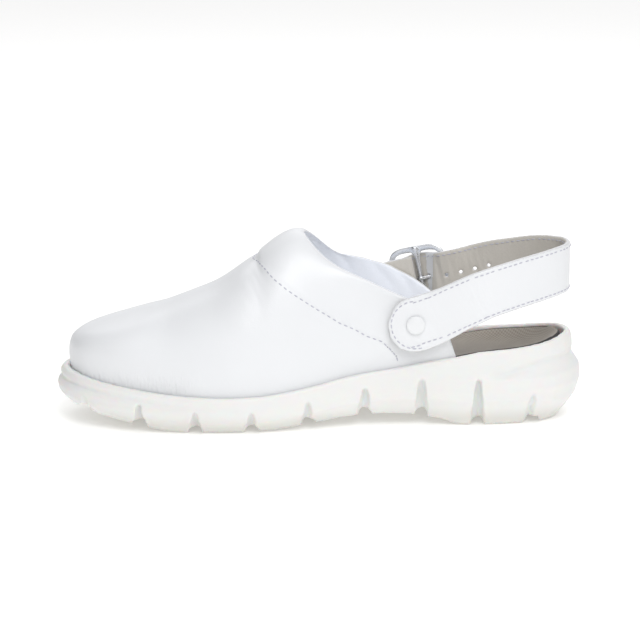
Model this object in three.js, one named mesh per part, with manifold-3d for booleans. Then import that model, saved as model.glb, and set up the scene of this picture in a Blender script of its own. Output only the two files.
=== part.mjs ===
// A white leather work clog for the right foot, with a moulded sole and a buckled heel strap.
// Millimetres. X runs forward to the toe, Y to the wearer's left (the inner side), Z up.
// The origin lies on the floor, below the middle of the shoe's own box.

import * as THREE from "three";
import { mergeVertices } from "three/addons/utils/BufferGeometryUtils.js";
import Module from "manifold-3d";

const wasm = await Module();
wasm.setup();

// Driving dimensions of the whole shoe
const LENGTH = 288; // heel block to toe bumper
const BALL_WIDTH = 106; // sole at its widest
const HEEL_WIDTH = 73; // sole across its heel blocks
const THROAT_HEIGHT = 106; // floor to the top of the instep panel
const HEEL_RIM_HEIGHT = 48; // floor to the top of the sole's cup, at the back
const GAP = 0.35; // between pieces that touch

// Sole
const ARCH_RISE = 6.5; // floor to the underside of the waist
const TOE_SPRING = 10; // floor to the underside of the toe
const UNDERCUT = 12; // how far the side's lowest edge can lie in from the outline
const RIM_WALL = 3; // wall that stands round the upper
const NOTCH_PITCH = 0.106 * LENGTH;
const NOTCH_START = 0.0948 * LENGTH; // heel end to the first notch
const NOTCH_COUNT = 9;
const NOTCH_WIDTH = 8.5;
const NOTCH_DEPTH = 7; // into the side at the tread
const NOTCH_TOP_DEPTH = 3.2; // into the side at the notch's top
const NOTCH_CREASE = 0.68; // where it is deepest, as a share of its width from the toe side
const GROOVE_HEIGHT = 3.8; // channels across the tread, below the notches

// Insole
const INSOLE_THICKNESS = 4.5;
const CUP_DEPTH = 7; // edge of the heel cup above its seat

// Upper
const WALL = 2.2;
const COLLAR_PAD = 1.8; // added thickness at the collar
const SEAM_RAISE = 1.1; // vamp edge above the instep panel
const SEAM_FADE = 0.8; // share of the wall's height above which the panel rises to the vamp

// Strap, rivets and buckle
const STRAP_WIDTH = 27;
const STRAP_THICKNESS = 2.8;
const STRAP_END_RADIUS = 15.2;
const TIP_HALF = 2; // least half-width that a rounded end is drawn in to
const STRAP_HOLE = 2.4;
const STRAP_HOLE_PITCH = 8.2;
const STRAP_HOLE_COUNT = 5; // the prong's hole and those behind it
const STRAP_HEIGHT = 83.5; // floor to the strap's middle, behind the heel
const RIVET_CAP = 10.8;
const CAP_CLEARANCE = 1.2; // between the strap's tip and the outer snap cap
const RIVET_CAP_HEIGHT = 1.6;
const RIVET_SHANK = 4;
const WASHER_THICKNESS = 1;
const WASHER_SHARE = 0.78; // washer inside the shoe, as a share of the cap
const BUCKLE_LENGTH = 33; // along the strap
const BUCKLE_RAIL = 3.4;
const BUCKLE_THICKNESS = 1.8;
const BUCKLE_CLEARANCE = 1.7; // between the strap's edge and the buckle's side rail
const BUCKLE_BAR = 2.2;
const PRONG_WIDTH = 2.2;
const PRONG_EYE = 0.8; // wall of the prong's eye round the bar

// Fineness of the facets
const STATION_STEP = 7;
const TOE_STEPS = 26;
const HEEL_STEPS = 18;
const BELOW_SEAM = 7;
const ABOVE_SEAM = 5;
const STRAP_STEPS = 64;
const TAB_STEPS = 14;
const FRAME_STEPS = 28;
const ROUND_SIDES = 12;

// Outline of the sole seen from above. at is a share of the length from the heel end;
// inner and outer are shares of the sole's width there.
const OUTLINE = [
  { at: 0.018, inner: 0.24, outer: 0.24 },
  { at: 0.056, inner: 0.39, outer: 0.395 },
  { at: 0.122, inner: 0.482, outer: 0.485 },
  { at: 0.2, inner: 0.503, outer: 0.515 },
  { at: 0.3, inner: 0.485, outer: 0.535 },
  { at: 0.39, inner: 0.449, outer: 0.52 },
  { at: 0.486, inner: 0.437, outer: 0.485 },
  { at: 0.583, inner: 0.461, outer: 0.489 },
  { at: 0.677, inner: 0.489, outer: 0.511 },
  { at: 0.764, inner: 0.474, outer: 0.496 },
  { at: 0.844, inner: 0.436, outer: 0.446 },
  { at: 0.91, inner: 0.372, outer: 0.356 },
  { at: 0.958, inner: 0.285, outer: 0.245 },
  { at: 0.988, inner: 0.168, outer: 0.126 },
];
const TOE_TIP_SIDE = 0.02; // share of the ball width that the tip lies to the inner side

// Heights along the sole. rim is a share of the heel rim's height, arch of the arch rise,
// toe of the toe spring, and bed, under the insole, again of the heel rim's height.
const HEIGHTS = [
  { at: 0, rim: 1, arch: 0, toe: 0, bed: 0.665 },
  { at: 0.05, rim: 0.955, arch: 0, toe: 0, bed: 0.66 },
  { at: 0.12, rim: 0.905, arch: 0, toe: 0, bed: 0.655 },
  { at: 0.2, rim: 0.868, arch: 0, toe: 0, bed: 0.64 },
  { at: 0.235, rim: 0.825, arch: 0.03, toe: 0, bed: 0.625 },
  { at: 0.28, rim: 0.78, arch: 0.62, toe: 0, bed: 0.6 },
  { at: 0.36, rim: 0.685, arch: 1, toe: 0, bed: 0.51 },
  { at: 0.44, rim: 0.61, arch: 0.85, toe: 0, bed: 0.42 },
  { at: 0.51, rim: 0.515, arch: 0.42, toe: 0, bed: 0.335 },
  { at: 0.58, rim: 0.45, arch: 0.08, toe: 0, bed: 0.27 },
  { at: 0.61, rim: 0.432, arch: 0, toe: 0, bed: 0.255 },
  { at: 0.68, rim: 0.423, arch: 0, toe: 0, bed: 0.25 },
  { at: 0.77, rim: 0.442, arch: 0, toe: 0, bed: 0.255 },
  { at: 0.84, rim: 0.483, arch: 0, toe: 0.3, bed: 0.285 },
  { at: 0.92, rim: 0.542, arch: 0, toe: 0.7, bed: 0.34 },
  { at: 1, rim: 0.6, arch: 0, toe: 1, bed: 0.39 },
];

// Profile of the sole's side. Each level has its height as a share of the side's height and
// how far it lies in from the outline as a share of the undercut: at the back of the heel,
// along the heel, waist, ball and toe.
const SIDE_LEVELS = [
  { back: [0, 1.05], heel: [0, 0.95], waist: [0, 0.72], ball: [0, 0.7], toe: [0, 0.55] },
  { back: [0.14, 0.6], heel: [0.18, 0.48], waist: [0.18, 0.38], ball: [0.18, 0.37], toe: [0.16, 0.26] },
  { back: [0.28, 0.2], heel: [0.36, 0.06], waist: [0.37, 0.04], ball: [0.36, 0.03], toe: [0.34, 0.05] },
  { back: [0.46, 0], heel: [0.47, 0], waist: [0.52, 0], ball: [0.54, 0], toe: [0.48, 0] },
  { back: [0.61, 0.05], heel: [0.62, 0.03], waist: [0.68, 0.01], ball: [0.67, 0], toe: [0.62, 0.07] },
  { back: [0.735, 0.38], heel: [0.7, 0.28], waist: [0.78, 0.04], ball: [0.78, 0.02], toe: [0.71, 0.26] },
  { back: [0.8, 0.38], heel: [0.79, 0.34], waist: [0.88, 0.07], ball: [0.88, 0.05], toe: [0.84, 0.15] },
  { back: [0.93, 0.42], heel: [0.93, 0.37], waist: [0.97, 0.13], ball: [0.96, 0.1], toe: [0.95, 0.24] },
  { back: [1, 0.52], heel: [1, 0.45], waist: [1, 0.2], ball: [1, 0.18], toe: [1, 0.36] },
];

// Where along the length each profile of the side holds, as shares of the length
const SIDE_PLACES = { back: 0.02, heel: 0.14, waist: 0.3, ball: 0.62, toe: 0.95 };

// Top of each notch, from heel to toe: its height as a share of the rim's height there and
// its width as a share of the notch's width at the tread
const NOTCHES = [
  { top: 0.42, width: 0.3 },
  { top: 0.66, width: 0.3 },
  { top: 0.76, width: 0.36 },
  { top: 0.74, width: 0.36 },
  { top: 0.7, width: 0.25 },
  { top: 0.63, width: 0.25 },
  { top: 0.63, width: 0.25 },
  { top: 0.7, width: 0.25 },
  { top: 0.65, width: 0.25 },
];

// Ridge of the upper over the instep and toes: its height as a share of the throat's, how far
// it lies to the inner side as a share of the ball width, and how full the sides are
const RIDGE = [
  { at: 0.535, height: 1, inward: 0.05, fullness: 1.95 },
  { at: 0.562, height: 0.978, inward: 0.05, fullness: 2.0 },
  { at: 0.587, height: 0.93, inward: 0.048, fullness: 2.1 },
  { at: 0.606, height: 0.875, inward: 0.046, fullness: 2.15 },
  { at: 0.628, height: 0.832, inward: 0.044, fullness: 2.2 },
  { at: 0.646, height: 0.791, inward: 0.042, fullness: 2.25 },
  { at: 0.667, height: 0.746, inward: 0.04, fullness: 2.3 },
  { at: 0.69, height: 0.7, inward: 0.038, fullness: 2.3 },
  { at: 0.733, height: 0.65, inward: 0.032, fullness: 2.35 },
  { at: 0.778, height: 0.598, inward: 0.028, fullness: 2.4 },
  { at: 0.833, height: 0.54, inward: 0.024, fullness: 3 },
  { at: 0.868, height: 0.513, inward: 0.02, fullness: 4 },
  { at: 0.91, height: 0.492, inward: 0.02, fullness: 5 },
  { at: 1, height: 0.458, inward: 0.02, fullness: 6 },
];

// Collar edge on each side behind the throat: heights as shares of the throat's, half-widths
// as shares of the upper's foot there, and how straight the walls below it are
const COLLAR = [
  { at: 0.243, inner: 0.368, outer: 0.368, innerHalf: 1.02, outerHalf: 1.01, fullness: 1.15 },
  { at: 0.25, inner: 0.45, outer: 0.45, innerHalf: 1.03, outerHalf: 1.02, fullness: 1.15 },
  { at: 0.262, inner: 0.535, outer: 0.53, innerHalf: 1.04, outerHalf: 1.02, fullness: 1.2 },
  { at: 0.288, inner: 0.603, outer: 0.6, innerHalf: 1.05, outerHalf: 1.03, fullness: 1.25 },
  { at: 0.337, inner: 0.673, outer: 0.688, innerHalf: 1.05, outerHalf: 1.02, fullness: 1.3 },
  { at: 0.368, inner: 0.708, outer: 0.727, innerHalf: 1.02, outerHalf: 0.98, fullness: 1.4 },
  { at: 0.396, inner: 0.742, outer: 0.754, innerHalf: 0.94, outerHalf: 0.9, fullness: 1.5 },
  { at: 0.425, inner: 0.776, outer: 0.775, innerHalf: 0.84, outerHalf: 0.81, fullness: 1.6 },
  { at: 0.455, inner: 0.808, outer: 0.79, innerHalf: 0.73, outerHalf: 0.72, fullness: 1.7 },
  { at: 0.479, inner: 0.846, outer: 0.826, innerHalf: 0.62, outerHalf: 0.62, fullness: 1.8 },
  { at: 0.502, inner: 0.89, outer: 0.888, innerHalf: 0.49, outerHalf: 0.49, fullness: 1.88 },
  { at: 0.522, inner: 0.962, outer: 0.96, innerHalf: 0.31, outerHalf: 0.31, fullness: 1.92 },
  { at: 0.535, inner: 1, outer: 1, innerHalf: 0, outerHalf: 0, fullness: 1.95 },
];

// Height of the vamp seam on the side, as a share of the wall's height there
const SEAM = [
  { at: 0.344, height: 0 },
  { at: 0.35, height: 0.14 },
  { at: 0.36, height: 0.235 },
  { at: 0.378, height: 0.345 },
  { at: 0.408, height: 0.4 },
  { at: 0.43, height: 0.465 },
  { at: 0.458, height: 0.53 },
  { at: 0.5, height: 0.6 },
  { at: 0.536, height: 0.62 },
  { at: 0.572, height: 0.745 },
  { at: 0.6, height: 0.9 },
  { at: 0.628, height: 1 },
];

// Route of the heel strap: half-width as a share of the heel width and height on each side as a
// share of the strap's height behind the heel. Beside the upper it lies against the wall.
const STRAP_ROUTE = [
  { at: 0.028, half: 0, inner: 1, outer: 1 },
  { at: 0.034, half: 0.12, inner: 1, outer: 1 },
  { at: 0.048, half: 0.2, inner: 0.995, outer: 0.995 },
  { at: 0.075, half: 0.288, inner: 0.98, outer: 0.985 },
  { at: 0.115, half: 0.378, inner: 0.955, outer: 0.955 },
  { at: 0.163, half: 0.452, inner: 0.915, outer: 0.918 },
  { at: 0.2, half: 0.486, inner: 0.875, outer: 0.882 },
  { at: 0.243, half: 0.5, inner: 0.805, outer: 0.848 },
  { at: 0.28, half: 0.505, inner: 0.74, outer: 0.82 },
  { at: 0.319, half: 0.505, inner: 0.69, outer: 0.79 },
  { at: 0.36, half: 0.505, inner: 0.65, outer: 0.76 },
  { at: 0.48, half: 0.505, inner: 0.6, outer: 0.7 },
];

// Value of one column of a table at a place between its rows, on a smooth curve that never
// passes a row's own value
function column(rows, name, at) {
  const last = rows.length - 1;
  if (at <= rows[0].at) return rows[0][name];
  if (at >= rows[last].at) return rows[last][name];
  let row = 0;
  while (rows[row + 1].at < at) row += 1;
  const slope = (a, b) => (rows[b][name] - rows[a][name]) / (rows[b].at - rows[a].at);
  const tangent = (index) => {
    if (index === 0 || index === last) return 0;
    const before = slope(index - 1, index);
    const after = slope(index, index + 1);
    return before * after <= 0 ? 0 : (2 * before * after) / (before + after);
  };
  const width = rows[row + 1].at - rows[row].at;
  const t = (at - rows[row].at) / width;
  const h = t * t * (3 - 2 * t);
  const start = rows[row][name] * (1 - h) + rows[row + 1][name] * h;
  const bend = t * (1 - t) * ((1 - t) * tangent(row) - t * tangent(row + 1)) * width;
  return start + bend;
}

// Width that the outline's shares refer to: the heel's at the back, the ball's in front
function widthAt(at) {
  return THREE.MathUtils.lerp(HEEL_WIDTH, BALL_WIDTH, THREE.MathUtils.smoothstep(at, 0.3, 0.6));
}

// The outline as one closed curve, from the heel end round the outer side to the toe and back
function outlineCurve() {
  const point = (row, side, name) =>
    new THREE.Vector3(row.at * LENGTH, side * row[name] * widthAt(row.at), 0);
  const outer = OUTLINE.map((row) => point(row, -1, "outer"));
  const inner = OUTLINE.map((row) => point(row, 1, "inner")).reverse();
  const toe = new THREE.Vector3(LENGTH, TOE_TIP_SIDE * BALL_WIDTH, 0);
  const points = [new THREE.Vector3(0, 0, 0), ...outer, toe, ...inner];
  return new THREE.CatmullRomCurve3(points, true, "centripetal");
}

const SAMPLES = 1600;
const curve = outlineCurve();
curve.arcLengthDivisions = SAMPLES;
const samples = curve.getSpacedPoints(SAMPLES).slice(0, SAMPLES);
const toeSample = samples.reduce((best, p, i) => (p.x > samples[best].x ? i : best), 0);

// Sample of the outline, with a fraction of a step, where it reaches x on the given side
function sampleAt(x, side) {
  if (side < 0) {
    let i = 0;
    while (samples[i + 1].x < x) i += 1;
    return i + (x - samples[i].x) / (samples[i + 1].x - samples[i].x);
  }
  let i = SAMPLES - 1;
  while (samples[i - 1].x < x) i -= 1;
  return i - (x - samples[i].x) / (samples[i - 1].x - samples[i].x);
}

// Point of the outline and its inward direction, at a sample number that may lie between two
function outlineAt(sample) {
  const pick = (n) => samples[((Math.floor(n) % SAMPLES) + SAMPLES) % SAMPLES];
  const point = pick(sample).clone().lerp(pick(sample + 1), sample - Math.floor(sample));
  const along = pick(sample + 3).clone().sub(pick(sample - 3)).normalize();
  return { point, inward: new THREE.Vector3(-along.y, along.x, 0) };
}

// Places along the shoe, in millimetres from the heel end
const HEEL_FAN = 0.14 * LENGTH; // behind this the stations fan round the heel
const QUARTER_END = 0.243 * LENGTH; // rear edge of the upper
const SEAM_FOOT = 0.344 * LENGTH; // where the vamp seam meets the sole
const THROAT = 0.535 * LENGTH;
const SEAM_TOP = 0.628 * LENGTH; // where the vamp seam crosses the instep
const TOE_FAN = 0.79 * LENGTH; // before this they fan round the toe

// Stations along each side, the same on both, so that pieces meet facet to facet
function sideStations() {
  const breaks = [HEEL_FAN, QUARTER_END, SEAM_FOOT, THROAT, SEAM_TOP, TOE_FAN];
  const places = [HEEL_FAN];
  for (let b = 1; b < breaks.length; b += 1) {
    const steps = Math.ceil((breaks[b] - breaks[b - 1]) / STATION_STEP);
    for (let s = 1; s <= steps; s += 1) {
      places.push(THREE.MathUtils.lerp(breaks[b - 1], breaks[b], s / steps));
    }
  }
  return places;
}

// Every station round the shoe: outer side forward, round the toe, inner side back, heel
function allStations() {
  const places = sideStations();
  const stations = places.map((x) => ({ x, side: -1, sample: sampleAt(x, -1) }));
  const toeEnd = sampleAt(TOE_FAN, 1);
  const toeStart = sampleAt(TOE_FAN, -1);
  for (let s = 1; s < TOE_STEPS; s += 1) {
    stations.push({ side: 0, sample: THREE.MathUtils.lerp(toeStart, toeEnd, s / TOE_STEPS) });
  }
  for (const x of [...places].reverse()) stations.push({ x, side: 1, sample: sampleAt(x, 1) });
  const heelStart = sampleAt(HEEL_FAN, 1);
  const heelEnd = sampleAt(HEEL_FAN, -1) + SAMPLES;
  for (let s = 1; s < HEEL_STEPS; s += 1) {
    stations.push({ side: 0, sample: THREE.MathUtils.lerp(heelStart, heelEnd, s / HEEL_STEPS) });
  }
  for (const station of stations) {
    const { point, inward } = outlineAt(station.sample);
    if (station.x !== undefined) point.x = station.x;
    station.point = point;
    station.inward = inward;
    const spine = THREE.MathUtils.clamp(point.x, HEEL_FAN, TOE_FAN);
    station.spine = new THREE.Vector3(spine, middleAt(spine), 0);
  }
  return stations;
}

// Middle of the sole at x
function middleAt(x) {
  const inner = outlineAt(sampleAt(x, 1)).point.y;
  const outer = outlineAt(sampleAt(x, -1)).point.y;
  return (inner + outer) / 2;
}

const stations = allStations();

// Height of the sole's underside, of the bed under the insole and of the rim, at a point
function undersideAt(point) {
  const at = point.x / LENGTH;
  const spring = column(HEIGHTS, "toe", at) * TOE_SPRING;
  const outerShare = THREE.MathUtils.smoothstep(-point.y, 0, HEEL_WIDTH / 2);
  return spring + column(HEIGHTS, "arch", at) * ARCH_RISE * (1 - 0.35 * outerShare);
}

function bedAt(point) {
  return column(HEIGHTS, "bed", point.x / LENGTH) * HEEL_RIM_HEIGHT;
}

function rimAt(point) {
  return column(HEIGHTS, "rim", point.x / LENGTH) * HEEL_RIM_HEIGHT;
}

// One level of the sole's side at a station: its height share and its inset
function sideLevel(level, station) {
  const at = station.point.x / LENGTH;
  const names = Object.keys(SIDE_PLACES);
  const rows = names.map((name) => ({
    at: SIDE_PLACES[name],
    height: SIDE_LEVELS[level][name][0],
    inset: SIDE_LEVELS[level][name][1],
  }));
  return { height: column(rows, "height", at), inset: column(rows, "inset", at) * UNDERCUT };
}

// A station's point moved in from the outline, at a height
function insetPoint(station, inset, z) {
  const point = station.point.clone().addScaledVector(station.inward, inset);
  point.z = z;
  return point;
}

// A point between a ring's point and the spine below it, at a height
function towardSpine(point, station, share, z) {
  const moved = point.clone().lerp(station.spine, share);
  moved.z = z;
  return moved;
}

// Inset of the inner face of the rim, and of whatever stands inside it
function rimInset(station) {
  return sideLevel(SIDE_LEVELS.length - 1, station).inset + RIM_WALL;
}

// Closed geometry from closed rings of points, each joined to the next. Corners that coincide
// are welded, and skip(ring, place) leaves a face open where two parts of a ring meet.
function loft(rings, skip = () => false) {
  const points = [];
  const places = new Map();
  const corner = (p) => {
    const key = [p.x, p.y, p.z].map((v) => Math.round(v * 2000)).join(",");
    if (!places.has(key)) {
      places.set(key, places.size);
      points.push(p.x, p.y, p.z);
    }
    return places.get(key);
  };
  const faces = [];
  const face = (a, b, c) => {
    if (a !== b && b !== c && c !== a) faces.push(a, b, c);
  };
  const ids = rings.map((ring) => ring.map(corner));
  for (let r = 0; r + 1 < ids.length; r += 1) {
    const lower = ids[r];
    const upper = ids[r + 1];
    for (let i = 0; i < lower.length; i += 1) {
      if (skip(r, i)) continue;
      const j = (i + 1) % lower.length;
      face(lower[i], lower[j], upper[j]);
      face(lower[i], upper[j], upper[i]);
    }
  }
  const geometry = new THREE.BufferGeometry();
  geometry.setAttribute("position", new THREE.Float32BufferAttribute(points, 3));
  geometry.setIndex(faces);
  return geometry;
}

// three.js geometry to a solid and back
function solidOf(geometry) {
  const bare = geometry.clone();
  bare.deleteAttribute("normal");
  bare.deleteAttribute("uv");
  const merged = mergeVertices(bare, 1e-4);
  const vertProperties = new Float32Array(merged.attributes.position.array);
  const triVerts = new Uint32Array(merged.index.array);
  return new wasm.Manifold(new wasm.Mesh({ numProp: 3, vertProperties, triVerts }));
}

function geometryOf(solid) {
  const mesh = solid.getMesh();
  const geometry = new THREE.BufferGeometry();
  geometry.setAttribute("position", new THREE.BufferAttribute(mesh.vertProperties, 3));
  geometry.setIndex(new THREE.BufferAttribute(mesh.triVerts, 1));
  return geometry;
}

// Solid of the convex hull between two flat outlines with as many corners, lower one first,
// each counter-clockwise seen from outside the second
function prism(first, second) {
  return solidOf(loft([capOf(first), first, second, capOf(second)]));
}

// A ring drawn together to its middle, which closes an end
function capOf(corners) {
  const middle = corners.reduce((sum, p) => sum.add(p), new THREE.Vector3());
  middle.divideScalar(corners.length);
  return corners.map(() => middle.clone());
}

// Inset of the sole's side at a station and a height
function sideInset(station, z) {
  const low = undersideAt(station.point);
  const share = (z - low) / (rimAt(station.point) - low);
  const levels = SIDE_LEVELS.map((_, index) => sideLevel(index, station));
  const rows = levels.map((level) => ({ at: level.height, inset: level.inset }));
  return column(rows, "inset", share);
}

// Cutter for one notch of the sole's side, at x on one side
function notchCutter(x, side, notch) {
  const station = stationAt(x, side);
  const { point, inward } = station;
  const forward = new THREE.Vector3(inward.y * side, -inward.x * side, 0);
  if (forward.x < 0) forward.negate();
  const crease = 0.5 - NOTCH_CREASE;
  const outline = (width, depth, z) => {
    const wall = sideInset(station, z);
    const place = (along, inset) => {
      const corner = point.clone().addScaledVector(forward, along * width);
      corner.addScaledVector(inward, inset);
      corner.z = z;
      return corner;
    };
    const corners = [
      place(0.5, -NOTCH_DEPTH),
      place(0.5, wall),
      place(crease, wall + depth),
      place(-0.5, wall),
      place(-0.5, -NOTCH_DEPTH),
    ];
    return side > 0 ? corners.reverse() : corners;
  };
  const low = outline(NOTCH_WIDTH, NOTCH_DEPTH, undersideAt(point) - GROOVE_HEIGHT);
  const high = outline(NOTCH_WIDTH * notch.width, NOTCH_TOP_DEPTH, notch.top * rimAt(point));
  return prism(low, high);
}

// Cutter for one channel across the tread, following the underside from side to side
function grooveCutter(x) {
  const reach = BALL_WIDTH * 0.6;
  const steps = 8;
  const rings = [];
  for (let s = 0; s <= steps; s += 1) {
    const y = THREE.MathUtils.lerp(-reach, reach, s / steps);
    const floor = undersideAt(new THREE.Vector3(x, y, 0));
    const half = NOTCH_WIDTH / 2;
    rings.push([
      new THREE.Vector3(x - half, y, floor - GROOVE_HEIGHT),
      new THREE.Vector3(x - half * 0.7, y, floor + GROOVE_HEIGHT),
      new THREE.Vector3(x + half * 0.7, y, floor + GROOVE_HEIGHT),
      new THREE.Vector3(x + half, y, floor - GROOVE_HEIGHT),
    ]);
  }
  return solidOf(loft([capOf(rings[0]), ...rings, capOf(rings[steps])]));
}

// Sole: underside, stepped side, rim and the bed inside it
function soleGeometry() {
  const edge = (station) => {
    const level = sideLevel(0, station);
    return insetPoint(station, level.inset, undersideAt(station.point));
  };
  const flat = (share) =>
    stations.map((station) => {
      const point = towardSpine(edge(station), station, share, 0);
      point.z = undersideAt(point);
      return point;
    });
  const side = SIDE_LEVELS.map((_, index) =>
    stations.map((station) => {
      const level = sideLevel(index, station);
      const low = undersideAt(station.point);
      return insetPoint(station, level.inset, low + (rimAt(station.point) - low) * level.height);
    }),
  );
  const innerTop = stations.map((s) => insetPoint(s, rimInset(s), rimAt(s.point) - GAP));
  const innerFoot = stations.map((s) => insetPoint(s, rimInset(s), bedAt(s.point)));
  const bed = (share) =>
    innerFoot.map((point, i) => {
      const moved = towardSpine(point, stations[i], share, 0);
      moved.z = bedAt(moved);
      return moved;
    });
  let solid = solidOf(loft([flat(1), flat(0.5), ...side, innerTop, innerFoot, bed(0.5), bed(1)]));
  for (let n = 0; n < NOTCH_COUNT; n += 1) {
    const x = NOTCH_START + n * NOTCH_PITCH;
    const notch = NOTCHES[Math.min(n, NOTCHES.length - 1)];
    solid = solid.subtract(notchCutter(x, 1, notch)).subtract(notchCutter(x, -1, notch));
    solid = solid.subtract(grooveCutter(x));
  }
  return geometryOf(solid);
}

// Inset of the insole's edge: inside the upper in front, out to the rim in the heel cup
function insoleInset(station) {
  const behind = THREE.MathUtils.smoothstep(QUARTER_END - station.point.x, 0, QUARTER_END * 0.5);
  return rimInset(station) + GAP + (WALL + GAP) * (1 - behind);
}

// Top of the insole: a flat foot bed that rises at the edge round the heel
function insoleTop(point, station, fromEdge) {
  const heel = 1 - THREE.MathUtils.smoothstep(point.x, HEEL_FAN, SEAM_FOOT);
  const edgeRise = Math.pow(1 - fromEdge, 3) * CUP_DEPTH * heel;
  const rear = 1 - THREE.MathUtils.smoothstep(point.x, 0, QUARTER_END);
  const lift = rear * (rimAt(station.point) - HEEL_RIM_HEIGHT * 0.868);
  return bedAt(point) + INSOLE_THICKNESS + edgeRise + lift * Math.pow(1 - fromEdge, 3);
}

function insoleGeometry() {
  const edge = stations.map((s) => insetPoint(s, insoleInset(s), 0));
  const under = (share) =>
    edge.map((point, i) => {
      const moved = towardSpine(point, stations[i], share, 0);
      moved.z = bedAt(share === 0 ? stations[i].point : moved) + GAP;
      return moved;
    });
  const over = (share) =>
    edge.map((point, i) => {
      const moved = towardSpine(point, stations[i], share, 0);
      moved.z = insoleTop(moved, stations[i], share);
      return moved;
    });
  return loft([under(1), under(0.5), under(0), over(0), over(0.2), over(0.5), over(1)]);
}

// Points of the upper's wall. Each station has a foot in the sole, a target on the ridge or the
// collar edge, and a rounded rib between the two.
const upperStations = stations.filter((s) =>
  s.side === 0 ? s.point.x > TOE_FAN : s.x >= QUARTER_END - GAP,
);

// Target of a station's rib, lowered and brought in by depth on the wall's inner face
function ribTarget(station, depth, foot) {
  const place = station.side === 0 ? TOE_FAN : station.x;
  const at = place / LENGTH;
  if (place >= THROAT - 1e-6) {
    const middle = middleAt(place) + column(RIDGE, "inward", at) * BALL_WIDTH;
    return new THREE.Vector3(place, middle, column(RIDGE, "height", at) * THROAT_HEIGHT - depth);
  }
  const names = station.side > 0 ? ["inner", "innerHalf"] : ["outer", "outerHalf"];
  const throat = middleAt(THROAT) + column(RIDGE, "inward", THROAT / LENGTH) * BALL_WIDTH;
  const share = column(COLLAR, names[1], at);
  const fade = THREE.MathUtils.smoothstep(share, 0, 0.5);
  const middle = THREE.MathUtils.lerp(throat, middleAt(place), fade);
  const y = middle + (foot.y - middle) * share;
  const z = column(COLLAR, names[0], at) * THROAT_HEIGHT;
  return new THREE.Vector3(place, y, z - depth * (1 - fade));
}

// Height of the ridge above any x, also past the last rib's target
function ridgeHeight(x) {
  return column(RIDGE, "height", x / LENGTH) * THROAT_HEIGHT;
}

// A point of the wall: up is the share of its height, raise lifts it outwards, depth sinks it
// from the outer to the inner face
function wallPoint(station, up, raise, depth) {
  const at = station.point.x / LENGTH;
  const inRear = station.side !== 0 && station.x < THROAT - 1e-6;
  const fullness = column(inRear ? COLLAR : RIDGE, "fullness", at);
  const pad = inRear && depth > 0 ? COLLAR_PAD * THREE.MathUtils.smoothstep(up, 0.55, 0.95) : 0;
  const thick = depth + pad;
  const lift = raise * THREE.MathUtils.smoothstep(up, 0, 0.15);
  const inset = rimInset(station) + GAP + thick - lift;
  const foot = insetPoint(station, inset, rimAt(station.point));
  const target = ribTarget(station, depth > 0 ? depth : -raise, foot);
  const inShare = 1 - Math.pow(1 - Math.pow(up, fullness), 1 / fullness);
  const point = foot.clone().lerp(target, inShare);
  const top = inRear ? target.z : ridgeHeight(point.x) - (depth > 0 ? depth : -raise);
  point.z = THREE.MathUtils.lerp(foot.z, top, up);
  return point;
}

// Share of the height at which each row of a rib lies, the seam between the two groups
function ribRows(station) {
  const place = station.side === 0 ? LENGTH : station.x;
  const seam = column(SEAM, "height", place / LENGTH);
  const ease = (share) => Math.sin((share * Math.PI) / 2);
  const shares = [];
  const seamShare = (Math.asin(seam) * 2) / Math.PI;
  const vamp = seam > 0 ? SEAM_RAISE : 0;
  for (let r = 0; r <= BELOW_SEAM; r += 1) {
    shares.push({ up: ease((seamShare * r) / BELOW_SEAM), raise: vamp });
  }
  const panel = SEAM_RAISE * THREE.MathUtils.smoothstep(seam, SEAM_FADE, 1);
  for (let r = 0; r <= ABOVE_SEAM; r += 1) {
    const share = seamShare + ((1 - seamShare) * r) / ABOVE_SEAM;
    shares.push({ up: ease(share), raise: panel });
  }
  return shares;
}

function upperGeometry() {
  const foot = (depth) =>
    upperStations.map((s) => {
      const inset = rimInset(s) + GAP + depth;
      return insetPoint(s, inset, bedAt(s.point) + GAP);
    });
  const rows = upperStations.map(ribRows);
  const count = rows[0].length;
  const face = (row, depth) =>
    upperStations.map((s, i) => {
      const { up, raise } = rows[i][row];
      return wallPoint(s, Math.min(up, 1), raise, depth);
    });
  const outside = Array.from({ length: count }, (_, r) => face(r, 0));
  const inside = Array.from({ length: count }, (_, r) => face(count - 1 - r, WALL));
  const rings = [foot(0), ...outside, ...inside, foot(WALL)];
  return closeEnds(rings);
}

// Closes a strip of open rows into one solid: the rows join round, and each end is filled
// between its outer and inner points
function closeEnds(rings) {
  const count = rings.length;
  const columns = rings[0].map((_, i) => rings.map((row) => row[i]));
  const end = (points) => {
    const half = count / 2;
    return points.map((p, i) => (i < half ? p : points[count - 1 - i]));
  };
  const sheets = [end(columns[0]), ...columns, end(columns[columns.length - 1])];
  const onRidge = (sheet) => {
    const station = upperStations[sheet - 1];
    return station !== undefined && (station.side === 0 || station.x >= THROAT - 1e-6);
  };
  const ridge = count / 2 - 1;
  const skip = (sheet, place) => place === ridge && onRidge(sheet) && onRidge(sheet + 1);
  return loft(sheets.map((sheet) => sheet.slice().reverse()), skip);
}

// Places of the fastenings, in millimetres from the heel end
const RIVET_INNER = 0.319 * LENGTH;
const BAR = 0.302 * LENGTH;
const STRAP_TIP = BAR + 0.68 * BUCKLE_LENGTH;
const RIVET_OUTER = STRAP_TIP + CAP_CLEARANCE + RIVET_CAP / 2;

// How far the upper's wall, or the strap's free loop behind it, reaches to a side at x
function sideReach(x, side) {
  const loop = column(STRAP_ROUTE, "half", x / LENGTH) * HEEL_WIDTH - GAP - STRAP_THICKNESS / 2;
  if (x < QUARTER_END) return loop;
  const station = stationAt(x, side);
  let reach = 0;
  for (let up = 0; up <= 1; up += 0.05) {
    reach = Math.max(reach, side * wallPoint(station, up, SEAM_RAISE, 0).y);
  }
  return reach;
}

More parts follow.
